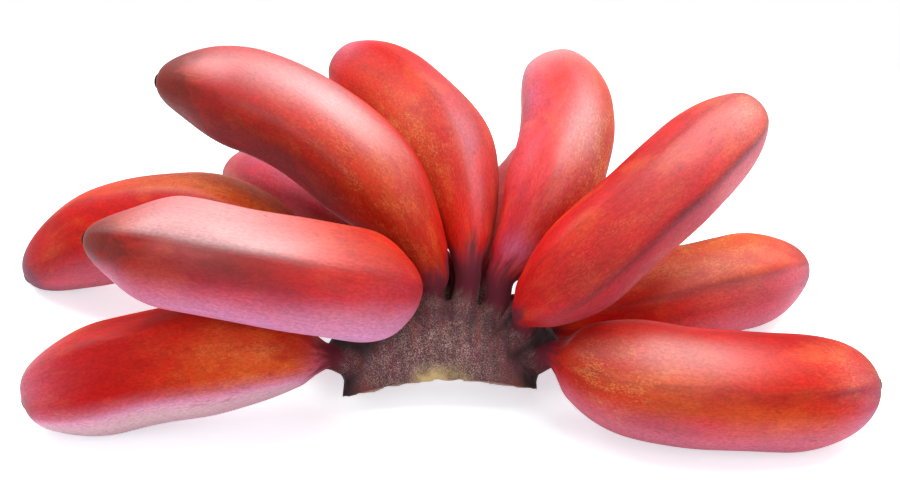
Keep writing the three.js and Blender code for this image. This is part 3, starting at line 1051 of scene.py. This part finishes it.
def peel_material(settings):
    """The skin: red with deeper clouds and lengthwise fibres, a blush and patches of orange with
    gold flecks, brown at the tip and along the ridges, brown patches that are partly painted shade,
    a painted pink sheen and painted near-white highlights that stand for the floor's reflection and
    the lamps' glints, violet that is partly the skin's own and partly painted sheen, and bark at
    the stalk's root. The attributes named like marks say where each of them lies."""
    peel = settings.peel
    material, wire, shader = new_material("peel_red")
    straight = wire.attribute("straight", vector=True)
    around = wire.stretch(straight, (1.0, 1.0, 0.6))
    from_neck, from_scar = wire.attribute("from_neck"), wire.attribute("from_scar")
    fine, broad = wire.fibres(straight, width=0.0011, pull=14.0)
    streak, wide_streak = wire.fibres(straight, width=0.0035, pull=6.0)

    large = wire.clouds(around, size=0.024, level=0.5, softness=0.14)
    colour = wire.lay(peel.red, peel.deep, large, 0.75)
    mottle = wire.clouds(around, size=0.006, level=0.56, softness=0.16)
    colour = wire.lay(colour, peel.deep, mottle, 0.45)
    blush = wire.clouds(around, size=0.013, level=0.6, softness=0.12)
    colour = wire.lay(colour, peel.warm, blush, 0.36)
    patch = wire.clouds(around, size=0.009, level=0.46, softness=0.22)
    broken = wire.plus(wire.times(patch, 0.7), 0.3)
    warm = wire.times(wire.attribute("warm"), broken, clamp=True)
    colour = wire.lay(colour, peel.warm, warm, 0.85)

    # The brown of the tips and of the brown patches, which in places are painted shade.
    brown = wire.plus(wire.attribute("brown_and_shade"), wire.ramp(from_scar, 0.022, 0.002, 0.0, 0.9))
    brown = wire.times(brown, wire.plus(broken, 0.2), clamp=True)
    colour = wire.lay(colour, peel.brown_and_shade, brown, 0.95)
    worn = wire.plus(wire.times(wire.ramp(streak, 0.38, 0.62), 0.35), wire.attribute("crease"))
    line = wire.times(wire.attribute("ridge"), worn, clamp=True)
    colour = wire.lay(colour, peel.ridge, line, 0.9)
    flecks = wire.speckle(around, size=0.00042, cover=0.5, clump=0.8)
    gold = wire.times(flecks, wire.attribute("fleck"), clamp=True)
    colour = wire.lay(colour, peel.gold, gold, 0.4)

    # Painted sheen: the pink mask of painted floor reflection and painted highlights.
    painted_sheen_mask = wire.times(wire.ramp(wide_streak, 0.3, 0.62, 0.8, 1.0), wire.attribute("painted_sheen"))
    colour = wire.lay(colour, peel.painted_sheen, painted_sheen_mask, 0.85)
    # Painted highlight: near-white painted on the highlight patches, and where the painted sheen
    # runs past 1.
    painted_highlight_mask = wire.larger(wire.minus(painted_sheen_mask, 1.0), wire.attribute("pale"))
    colour = wire.lay(colour, peel.pale, painted_highlight_mask, 0.9)
    # Violet: partly the skin's own tint, partly painted sheen of reflected light.
    violet_and_sheen_mask = wire.times(wire.attribute("violet_and_sheen"), broken, clamp=True)
    colour = wire.lay(colour, peel.violet_and_sheen, violet_and_sheen_mask, 0.7)

    thread = wire.ramp(fine, 0.3, 0.7, 0.97, 1.02)
    band = wire.ramp(broad, 0.3, 0.7, 0.97, 1.03)
    pores = wire.noise(around, scale=1100.0, detail=3.0, roughness=0.7)
    pores = wire.ramp(pores, 0.3, 0.7, 0.80, 1.10)
    shade = wire.times(wire.times(thread, band), pores)
    tone = wire.fill(wire.node("CombineColor"), {"Red": shade, "Green": shade, "Blue": shade})
    colour = wire.blend(1.0, colour, tone.outputs[0], kind="MULTIPLY")
    drawn_out = wire.stretch(straight, (1.0, 1.0, 0.3))
    nicks = wire.speckle(drawn_out, size=0.0012, cover=0.0, clump=0.6)
    colour = wire.lay(colour, peel.brown_and_shade, nicks, 0.3)

    ragged = wire.minus(patch, 0.5)
    stalky = wire.ramp(wire.plus(from_neck, wire.times(ragged, 0.008)), 0.007, -0.004)
    colour = wire.lay(colour, peel.stalk, stalky)
    from_root = wire.plus(wire.attribute("from_root"), wire.times(ragged, 0.006))
    rooted = wire.ramp(from_root, 0.010, 0.001)
    corky, grains = bark_colour(wire, straight, settings.bark)
    colour = wire.lay(colour, corky, rooted)
    stub = wire.ramp(from_scar, 0.0030, 0.0008)
    colour = wire.lay(colour, peel.scar, stub)

    dry = wire.larger(wire.times(stalky, 0.6), stub)
    matt = wire.plus(wire.ramp(broad, 0.3, 0.7, 0.40, 0.48), wire.times(dry, 0.35))
    rough = wire.larger(dry, wire.times(brown, 0.6))
    smooth = wire.times(wire.attribute("polish"), wire.ramp(rough, 0.0, 1.0, 1.0, 0.0))
    relief = wire.plus(wire.times(fine, 0.12), wire.times(streak, 0.2))
    relief = wire.plus(relief, wire.times(pores, 1.2))
    relief = wire.plus(relief, wire.times(wire.times(grains, rooted), 1.2))
    wire.fill(shader, {
        "Base Color": colour, "Roughness": matt, "Coat Weight": smooth,
        "Normal": wire.bump(relief, strength=0.5, distance=0.00035),
        "IOR": 1.36, "Specular IOR Level": 0.07, "Coat Roughness": 0.42, "Coat IOR": 1.9,
    })
    return material


def crown_material(settings):
    """The bark of the crown: corky grains, ribs flushed with red, violet and smoother at the sides
    and up the roots, painted shade in the gaps between the roots, darker at its two far sides, rust
    at the corners, green at the middle of the cut edge, and a pale line along it."""
    bark = settings.bark
    material, wire, shader = new_material("crown_bark")
    here = wire.node("TexCoord").outputs["Object"]
    reach, right = wire.attribute("reach"), wire.attribute("aside")
    above, off_root = wire.attribute("above_cut"), wire.attribute("off_root")
    aside = wire.math("ABSOLUTE", right)
    colour, grains = bark_colour(wire, here, bark)
    blot = wire.clouds(here, size=0.006, level=0.5, softness=0.2)

    far = wire.larger(wire.ramp(reach, 0.024, 0.040), wire.ramp(right, 0.25, 0.9))
    colour = wire.lay(colour, bark.violet, far, 0.75)
    strong = wire.ramp(right, -0.6, 0.9, 0.5, 0.2)
    colour = wire.lay(colour, bark.tan, wire.times(grains, strong))
    ribs = wire.noise(wire.stretch(here, tuple(UP_SLOPE)), scale=330.0)
    flushed = wire.times(wire.ramp(ribs, 0.5, 0.62), wire.ramp(reach, 0.018, 0.032))
    colour = wire.lay(colour, bark.flush, flushed, 0.45)
    colour = wire.lay(colour, bark.dark_and_shade, wire.ramp(ribs, 0.5, 0.36), 0.3)

    fresh = wire.times(wire.ramp(aside, 0.42, 0.05), wire.ramp(above, 0.0085, 0.0005))
    colour = wire.lay(colour, bark.green, wire.times(fresh, wire.plus(blot, 0.25)))
    torn = wire.times(wire.ramp(aside, 0.45, 0.95), wire.ramp(above, 0.009, 0.001))
    colour = wire.lay(colour, bark.rust, wire.times(torn, wire.plus(blot, 0.2)))
    colour = wire.lay(colour, bark.dark_and_shade, wire.ramp(aside, 0.9, 1.0, 0.0, 0.8))
    # Painted shade: the bark darkens in the gaps between the roots' upper ends.
    between = wire.times(wire.ramp(off_root, 0.0050, 0.0078), wire.ramp(reach, 0.029, 0.036))
    colour = wire.lay(colour, bark.dark_and_shade, between, 0.92)
    colour = wire.lay(colour, bark.tan, wire.ramp(above, 0.0011, 0.0004), 0.65)

    relief = wire.plus(grains, wire.times(blot, 0.6))
    wire.fill(shader, {
        "Base Color": colour, "Roughness": wire.ramp(grains, 0.0, 1.0, 0.62, 0.85),
        "Normal": wire.bump(relief, strength=0.8, distance=0.0005), "IOR": 1.4,
    })
    return material


def seen(wire):
    """1 for a ray from the camera, or one that a mirror or glass would send on, else 0."""
    path = wire.node("LightPath").outputs
    direct = wire.larger(path["Is Camera Ray"], path["Is Glossy Ray"])
    return wire.larger(direct, path["Is Transmission Ray"])


def floor_material():
    """A matt white floor. To the camera it shows partly by its own light, and wholly so away from
    the hand, so that it is white there and keeps a soft, faintly violet shadow near the hand."""
    material, wire, shader = new_material("floor_white")
    look = seen(wire)
    place = wire.node("VectorMath", operation="LENGTH")
    wire.feed(place.inputs[0], wire.node("TexCoord").outputs["Object"])
    far = wire.ramp(place.outputs["Value"], *FLOOR_FADE)
    wire.fill(shader, {
        "Base Color": wire.blend(look, FLOOR_BOUNCE, wire.blend(far, FLOOR_SEEN, BLACK)),
        "Emission Color": wire.blend(look, BLACK, wire.blend(far, FLOOR_GLOW, WHITE)),
        "Emission Strength": 1.0, "Roughness": 0.9, "Specular IOR Level": 0.0,
    })
    return material


# ------------------------------------------------------------------------------------ operators


def grow_row(context, row):
    """Makes the fingers of one row, all in the same skin."""
    settings = context.scene.red_bananas
    material = bpy.data.materials.get("peel_red") or peel_material(settings)
    for name in FINGERS:
        if name.startswith(row):
            finger_piece(name, material, settings.fruit)
    return {"FINISHED"}


class BANANAS_OT_outer_row(Operator):
    """Grow the seven fingers of the upper row"""

    bl_idname = "bananas.outer_row"
    bl_label = "Outer Row"

    def execute(self, context):
        return grow_row(context, "outer")


class BANANAS_OT_inner_row(Operator):
    """Grow the four fingers of the lower row"""

    bl_idname = "bananas.inner_row"
    bl_label = "Inner Row"

    def execute(self, context):
        return grow_row(context, "inner")


class BANANAS_OT_crown(Operator):
    """Make the cut crown that joins the fingers"""

    bl_idname = "bananas.crown"
    bl_label = "Crown"

    def execute(self, context):
        crown_piece(crown_material(context.scene.red_bananas))
        return {"FINISHED"}


def add_lamp(name, aim, setup):
    """A square lamp from the table, turned to a point."""
    place, size, setting, share, colour = LAMPS[name]
    light = bpy.data.lights.new(name, "AREA")
    light.shape = "SQUARE"
    light.size = size
    light.energy = getattr(setup, setting) * share
    light.color = colour
    lamp = add_object(name, light)
    lamp.location = place
    lamp.rotation_euler = (aim - Vector(place)).to_track_quat("-Z", "Y").to_euler()


class BANANAS_OT_stage(Operator):
    """Lay the floor and set up the lamps, the surround and the camera"""

    bl_idname = "bananas.stage"
    bl_label = "Stage"

    def execute(self, context):
        scene = context.scene
        setup = scene.red_bananas.stage
        half = setup.floor_size / 2
        mesh = bpy.data.meshes.new("floor")
        corners = [(-half, -half, 0), (half, -half, 0), (half, half, 0), (-half, half, 0)]
        mesh.from_pydata(corners, [], [(0, 1, 2, 3)])
        mesh.materials.append(floor_material())
        floor = add_object("floor", mesh)

        target = Vector(setup.target)
        for name in LAMPS:
            add_lamp(name, target, setup)

        world = bpy.data.worlds.new("surround")
        world.use_nodes = True
        world.node_tree.nodes.clear()
        wire = Wiring(world.node_tree)
        strength = wire.ramp(seen(wire), 0.0, 1.0, setup.surround, 1.0)
        back = wire.fill(wire.node("Background"), {"Color": WHITE, "Strength": strength})
        wire.feed(wire.node("OutputWorld").inputs["Surface"], back.outputs[0])
        scene.world = world

        camera = add_object("camera", bpy.data.cameras.new("camera"))
        camera.data.lens = setup.lens
        rise = setup.elevation
        away = Vector((0, -math.cos(rise), math.sin(rise)))
        camera.location = target + away * setup.distance
        camera.rotation_euler = (-away).to_track_quat("-Z", "Y").to_euler()
        scene.camera = camera
        scene.view_settings.view_transform = "Standard"
        return {"FINISHED"}


class VIEW3D_PT_bananas(Panel):
    """The hand's pieces and settings"""

    bl_label = "Red Bananas"
    bl_space_type = "VIEW_3D"
    bl_region_type = "UI"
    bl_category = "Bananas"

    def draw(self, context):
        layout = self.layout
        for operator in OPERATORS:
            layout.operator(operator.bl_idname)
        settings = context.scene.red_bananas
        for group in (settings.fruit, settings.peel, settings.bark, settings.stage):
            box = layout.box()
            for name in group.__annotations__:
                box.prop(group, name)


OPERATORS = (
    BANANAS_OT_crown, BANANAS_OT_outer_row, BANANAS_OT_inner_row, BANANAS_OT_stage,
)
CLASSES = (FruitShape, PeelFinish, BarkFinish, StageSetup, HandSettings, *OPERATORS,
           VIEW3D_PT_bananas)


def register():
    for cls in CLASSES:
        bpy.utils.register_class(cls)
    bpy.types.Scene.red_bananas = PointerProperty(type=HandSettings)


def unregister():
    del bpy.types.Scene.red_bananas
    for cls in reversed(CLASSES):
        bpy.utils.unregister_class(cls)


def main():
    """Registers the classes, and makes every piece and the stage."""
    register()
    bpy.ops.bananas.crown()
    bpy.ops.bananas.outer_row()
    bpy.ops.bananas.inner_row()
    bpy.ops.bananas.stage()


if __name__ == "__main__":
    main()
